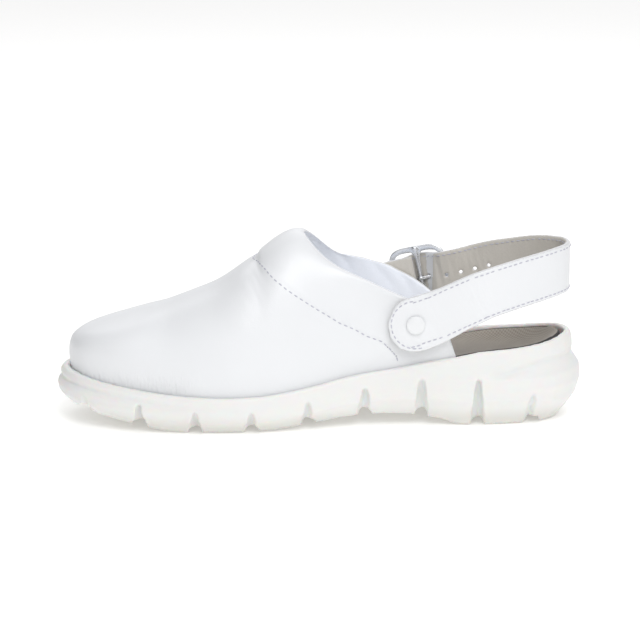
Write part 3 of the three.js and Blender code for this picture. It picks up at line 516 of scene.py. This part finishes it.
# Upper and its sewing
# Creases of the leather, pressed in or raised: places along the shoe and heights as shares of
# the throat's height, on one side, with their width and depth
CREASES = [
    {"side": 1, "path": [(0.40, 0.33), (0.375, 0.36), (0.35, 0.35)], "width": 2.6, "depth": 0.5},
    {"side": 1, "path": [(0.256, 0.47), (0.254, 0.40), (0.254, 0.33)], "width": 0.9, "depth": 0.6},
    {"side": -1, "path": [(0.256, 0.47), (0.254, 0.40), (0.254, 0.33)], "width": 0.9, "depth": 0.6},
    {"side": -1, "path": [(0.47, 0.82), (0.45, 0.76), (0.44, 0.70)], "width": 1.6, "depth": 0.9},
    {"side": -1, "path": [(0.40, 0.76), (0.385, 0.70), (0.36, 0.62)], "width": 2.6, "depth": 0.7},
    {"side": -1, "path": [(0.35, 0.70), (0.33, 0.64), (0.32, 0.58)], "width": 2.2, "depth": 0.7},
]


def creased(point, normal):
    """How far the leather stands out at a point, from the creases of its side."""
    side = 1 if point.y > MIDDLE else -1
    return pressed(point, [crease for crease in CREASES if crease["side"] == side])


def faces_in(face):
    """Whether a face of the upper is on its lining's side."""
    axis = Vector((face.center.x, MIDDLE, FOOT_LEVEL))
    return face.normal.dot(axis - face.center) > 0


# Height of the foot's middle inside the upper
FOOT_LEVEL = 40 * MM

# Place on the instep where the leather lies taut, and how far round it
INSTEP = Vector((34 * MM, MIDDLE, 76 * MM))
INSTEP_REACH = 48 * MM


def leather_upper():
    piece = carried("upper", "leather_upper")
    subdivided(piece, 2)
    modified(piece, "SMOOTH", factor=0.5, iterations=3)
    calm = piece.vertex_groups.new(name="instep")
    for vertex in piece.data.vertices:
        away = (vertex.co - INSTEP).length / INSTEP_REACH
        if away < 1:
            calm.add([vertex.index], 1 - away * away, "REPLACE")
    modified(piece, "SMOOTH", factor=0.5, iterations=30, vertex_group=calm.name)
    shaped(piece, creased)
    smooth(piece)
    pick = lambda face: 1 if faces_in(face) else 0
    return finished(piece, "upper", VAMP, LINING, replaces=["upper"], pick=pick)


# Vamp seam on each side: places along the shoe and heights as shares of the throat's height
SEAM = [
    (0.346, 0.342), (0.35, 0.375), (0.36, 0.405), (0.371, 0.435), (0.378, 0.457),
    (0.408, 0.487), (0.43, 0.523), (0.458, 0.558), (0.479, 0.594), (0.502, 0.633),
    (0.536, 0.693), (0.557, 0.731), (0.572, 0.762),
]
SEAM_CROSSING = (0.622, 0.845)
RIDGE_OFFSET = 4.6 * MM  # from the middle line to the ridge, where the two sides' rows meet
CROSSING_STEPS = 6

# Height below which the seam's needle holes stand open, as grey discs of painted shade
OPEN_HOLES = 46 * MM


def seam_path(tree, side):
    """Points of the seam on the upper's outer face, from the sole up to the ridge."""
    points = []
    for at, height in SEAM:
        start = Vector((along_shoe(at), side * 0.2, height * THROAT_HEIGHT))
        hit = tree.ray_cast(start, Vector((0, -side, 0)))[0]
        if hit:
            points.append(hit)
    at, height = SEAM_CROSSING
    top = Vector((along_shoe(at), MIDDLE + RIDGE_OFFSET, height * THROAT_HEIGHT))
    last = points[-1]
    for step in range(1, CROSSING_STEPS + 1):
        share = step / CROSSING_STEPS
        turn = share * math.pi / 2
        guess = last + Vector((
            (top.x - last.x) * share,
            (top.y - last.y) * (1 - math.cos(turn)),
            (top.z - last.z) * math.sin(turn),
        ))
        points.append(tree.find_nearest(guess)[0])
    return points


def spaced(points, pitch):
    """Places at an even pitch along a line of points, each with its direction."""
    places = []
    left = pitch / 2
    for start, end in zip(points, points[1:]):
        run = end - start
        length = run.length
        while left <= length:
            places.append((start + run * (left / length), run.normalized()))
            left += pitch
        left -= length
    return places


def pattern_stitch():
    """One stitch: a short thread, as a flattened ellipsoid."""
    bpy.ops.object.select_all(action="DESELECT")
    bpy.ops.mesh.primitive_uv_sphere_add(segments=8, ring_count=6, radius=1)
    piece = bpy.context.object
    edited(piece, (bpy.ops.transform.resize, {"value": (STITCH_HALF, THREAD / 2, THREAD / 2)}))
    return piece


# A flat disc that carries the painted shade of one needle hole
def pattern_hole():
    bpy.ops.object.select_all(action="DESELECT")
    bpy.ops.mesh.primitive_uv_sphere_add(segments=8, ring_count=4, radius=1)
    piece = bpy.context.object
    edited(piece, (bpy.ops.transform.resize, {"value": HOLE_SIZE}))
    return piece


def facing(point, along, normal):
    """Places a pattern: its length along the row, its top out of the surface."""
    side = normal.cross(along).normalized()
    along = side.cross(normal).normalized()
    turn = Matrix((along, side, normal)).transposed().to_4x4()
    return Matrix.Translation(point) @ turn


def repeated(pattern, places, name):
    copies = []
    for place in places:
        copy = pattern.copy()
        copy.data = pattern.data.copy()
        copy.matrix_world = place
        bpy.context.collection.objects.link(copy)
        copies.append(copy)
    bpy.ops.object.select_all(action="DESELECT")
    for copy in copies:
        copy.select_set(True)
    bpy.context.view_layer.objects.active = copies[0]
    bpy.ops.object.transform_apply(location=True, rotation=True, scale=True)
    bpy.ops.object.join()
    piece = bpy.context.object
    piece.name = name
    smooth(piece)
    return piece


def beside_seam(tree, side):
    """Points of the stitch row, on the instep panel just past the seam."""
    line = seam_path(tree, side)
    row = []
    for index, point in enumerate(line):
        ahead = line[min(index + 1, len(line) - 1)]
        behind = line[max(index - 1, 0)]
        normal = tree.find_nearest(point)[1]
        across = normal.cross(ahead - behind).normalized() * side
        row.append(tree.find_nearest(point + across * SEAM_OFFSET)[0])
    return row


def vamp_sewing(upper):
    """Stitches along the seam, with grey discs of painted shade for the open needle holes between
    them near its foot.
    """
    tree = surface(upper)
    stitches, holes = [], []
    for side in BOTH:
        for point, along in spaced(beside_seam(tree, side), SEAM_PITCH):
            point, normal, _, _ = tree.find_nearest(point)
            stitches.append(facing(point + normal * SEAM_STAND, along, normal))
            hole, normal, _, _ = tree.find_nearest(point + along * SEAM_PITCH / 2)
            if hole.z < OPEN_HOLES:
                holes.append(facing(hole, along, normal))
    sewing = repeated(pattern_thread, stitches, "vamp_stitches")
    finished(sewing, "upper", SEWING)
    pits = repeated(pattern_pit, holes, "vamp_needle_holes")
    finished(pits, "upper", HOLE)


# Heel strap and buckle tab
# Where the strap's faces are looked for: its riveted end from a side, and the loop from its
# middle line
LOBE_SIDE = 60 * MM
LOBE_SEARCH = 40 * MM
FACE_SEARCH = 12 * MM

# Loop of the strap behind the upper: places along the shoe, half-widths as shares of the heel
# width, and heights on the inner and outer side as shares of the strap's height
STRAP_LOOP = [
    (0.028, 0.0, 1.0, 1.0), (0.034, 0.12, 1.0, 1.0), (0.048, 0.2, 0.995, 0.995),
    (0.075, 0.288, 0.98, 0.985), (0.115, 0.378, 0.955, 0.955), (0.163, 0.452, 0.915, 0.918),
    (0.2, 0.486, 0.875, 0.882), (0.243, 0.5, 0.805, 0.848), (0.28, 0.52, 0.74, 0.82),
    (0.319, 0.56, 0.69, 0.79), (0.37, 0.56, 0.645, 0.755),
]


def strap_route():
    """Rough middle line of the strap, from its riveted end to the buckle."""
    width, height = HEEL_WIDTH, STRAP_HEIGHT
    route = []
    for at, half, inner, _ in reversed(STRAP_LOOP):
        route.append(Vector((along_shoe(at), part_y(half * width), inner * height)))
    for at, half, _, outer in STRAP_LOOP[1:]:
        route.append(Vector((along_shoe(at), part_y(-half * width), outer * height)))
    return route


def heel_strap():
    piece = carried("heel_strap", "heel_strap_leather")
    modified(piece, "REMESH", mode="VOXEL", voxel_size=STRAP_GRAIN, use_smooth_shade=True)
    modified(piece, "SMOOTH", factor=0.5, iterations=2)
    centre = Vector((along_shoe(LOOP_AT), MIDDLE, STRAP_HEIGHT))

    def pick(face):
        inward = centre - face.center
        inward.z = 0
        side = face.normal.dot(inward.normalized())
        return 1 if side > 0.45 else 2 if abs(face.normal.z) > 0.62 else 0

    smooth(piece)
    materials = (LEATHER, STRAP_LINING, EDGE)
    return finished(piece, "strap", *materials, replaces=["heel_strap"], pick=pick)


def lobe_stitches(tree, rivet):
    """Stitches round the strap's riveted end."""
    places = []
    radius = LOBE - EDGE_MARGIN
    count = round(math.pi * radius / STRAP_PITCH)
    for step in range(count + 1):
        angle = math.pi * (step / count - 0.5) + STRAP_TURN
        direction = Vector((math.cos(angle), 0, math.sin(angle)))
        start = rivet + direction * radius
        start.y = LOBE_SIDE
        hit, normal, _, _ = tree.ray_cast(start, Vector((0, -1, 0)), LOBE_SEARCH)
        if hit is not None and normal.y > 0.7:
            along = Vector((-direction.z, 0, direction.x))
            places.append(facing(hit + normal * STITCH_STAND, along, normal))
    return places


def strap_sewing(strap):
    """A row of stitches inside each edge, on both faces, and round the riveted end."""
    tree = surface(strap)
    rivet = Vector((along_shoe(RIVET_AT), 0, RIVET_LEVEL * STRAP_HEIGHT))
    centre = Vector((along_shoe(LOOP_AT), MIDDLE, 0))
    half = STRAP_WIDTH / 2 - EDGE_MARGIN
    rows = []
    for up in BOTH:
        for point, along in spaced(strap_route(), STRAP_PITCH):
            out = Vector((-along.y, along.x, 0)).normalized()
            if out.dot(point - centre) < 0:
                out.negate()
            across = along.cross(out).normalized()
            if across.z < 0:
                across.negate()
            for face in BOTH:
                start = point + across * up * half + out * face * FACE_SEARCH
                hit, normal, _, _ = tree.ray_cast(start, out * -face, 2 * FACE_SEARCH)
                if hit is not None and normal.dot(out * face) >= 0.6:
                    rows.append(facing(hit + normal * STITCH_STAND, along, normal))
    lobe_edge = rivet.x + LOBE * 0.1
    keep = lambda place: place.translation.y < 0 or place.translation.x < lobe_edge
    return lobe_stitches(tree, rivet) + [place for place in rows if keep(place)]


def buckle_tab():
    piece = carried("buckle_tab", "buckle_tab_leather")
    smooth(piece, 50)
    pick = lambda face: 1 if face.normal.y > 0.45 else 2 if face.normal.y > -0.5 else 0
    materials = (LEATHER, STRAP_LINING, EDGE)
    return finished(piece, "strap", *materials, replaces=["buckle_tab"], pick=pick)


# Metal and caps
def rounded(node, name, slot, material, levels=1, degrees=180):
    piece = carried(node, name)
    subdivided(piece, levels)
    smooth(piece, degrees)
    return finished(piece, slot, material, replaces=[node])


moulded()
footbed()
pattern_thread = pattern_stitch()
pattern_pit = pattern_hole()
upper = leather_upper()
vamp_sewing(upper)
strap = heel_strap()
strap_stitches = repeated(pattern_thread, strap_sewing(strap), "strap_stitches")
finished(strap_stitches, "strap", SEWING)
buckle_tab()
rounded("buckle_frame", "buckle_frame_metal", "buckle", METAL, 2)
rounded("buckle_prong", "buckle_prong_metal", "buckle", METAL, 1)
rounded("rivet_inner", "snap_cap_inner", "cap", CAP, 2)
rounded("rivet_outer", "snap_cap_outer", "cap", CAP, 2)
for pattern in (pattern_thread, pattern_pit):
    bpy.data.objects.remove(pattern)


# Studio
def pale(name, color):
    finish = Finish(name, Emission_Color=(1, 0.98, 0.94, 1), Emission_Strength=0.23)
    cloud = finish.noise(3, 1)
    finish.color(finish.mix(cloud, color, tuple(0.99 * part for part in color)))
    finish.rough(0.9)
    return finish.material


def studio_floor():
    bpy.ops.object.select_all(action="DESELECT")
    bpy.ops.mesh.primitive_plane_add(size=8, location=(0, 0, -0.1 * MM))
    floor = bpy.context.object
    floor.name = "studio_floor"
    only(floor)
    bpy.ops.object.transform_apply(location=True, rotation=True, scale=True)
    floor.data.materials.append(pale("studio_floor", (0.97, 0.97, 0.965)))


# Where the lamps point
AIM = Vector((0, 0, 0.05))


def turned_to(place, aim):
    return (aim - place).to_track_quat("-Z", "Y").to_euler()


def soft_light(name, place, size, power):
    data = bpy.data.lights.new(name, "AREA")
    data.shape = "RECTANGLE"
    data.size, data.size_y = size
    data.energy = power
    light = bpy.data.objects.new(name, data)
    light.location = place
    light.rotation_euler = turned_to(Vector(place), AIM)
    bpy.context.collection.objects.link(light)


def studio_sky():
    """A white surround, darker beyond the toe and, less so, the heel, to round both ends."""
    world = bpy.data.worlds.new("studio")
    bpy.context.scene.world = world
    world.use_nodes = True
    nodes, links = world.node_tree.nodes, world.node_tree.links
    place = nodes.new("ShaderNodeTexCoord")
    shade = nodes.new("ShaderNodeMapRange")
    parts = nodes.new("ShaderNodeSeparateXYZ")
    links.new(place.outputs["Generated"], parts.inputs[0])
    behind = nodes.new("ShaderNodeMath")
    behind.operation = "MULTIPLY"
    behind.inputs[1].default_value = -0.7
    links.new(parts.outputs["X"], behind.inputs[0])
    sideways = nodes.new("ShaderNodeMath")
    sideways.operation = "MAXIMUM"
    links.new(parts.outputs["X"], sideways.inputs[0])
    links.new(behind.outputs[0], sideways.inputs[1])
    links.new(sideways.outputs[0], shade.inputs["Value"])
    for socket, value in {"From Min": 0.15, "From Max": 0.9, "To Min": 1.02, "To Max": 0.0}.items():
        shade.inputs[socket].default_value = value
    background = nodes["Background"]
    background.inputs["Color"].default_value = (0.98, 0.985, 1, 1)
    links.new(shade.outputs[0], background.inputs["Strength"])


def camera():
    data = bpy.data.cameras.new("camera")
    data.lens = 158.5
    data.sensor_width = 36
    data.clip_start = 0.05
    eye = bpy.data.objects.new("camera", data)
    eye.location = (-0.0007, 1.510, 0.4007)
    eye.rotation_euler = turned_to(eye.location, Vector((-0.0007, 0, 0.052)))
    bpy.context.collection.objects.link(eye)
    bpy.context.scene.camera = eye


studio_floor()
soft_light("key", (-0.2, 1.0, 1.25), (0.7, 0.7), 7.1)
soft_light("back", (0.2, -1.2, 1.1), (1.6, 0.8), 3)
bpy.context.scene.view_settings.view_transform = "Standard"
studio_sky()
camera()
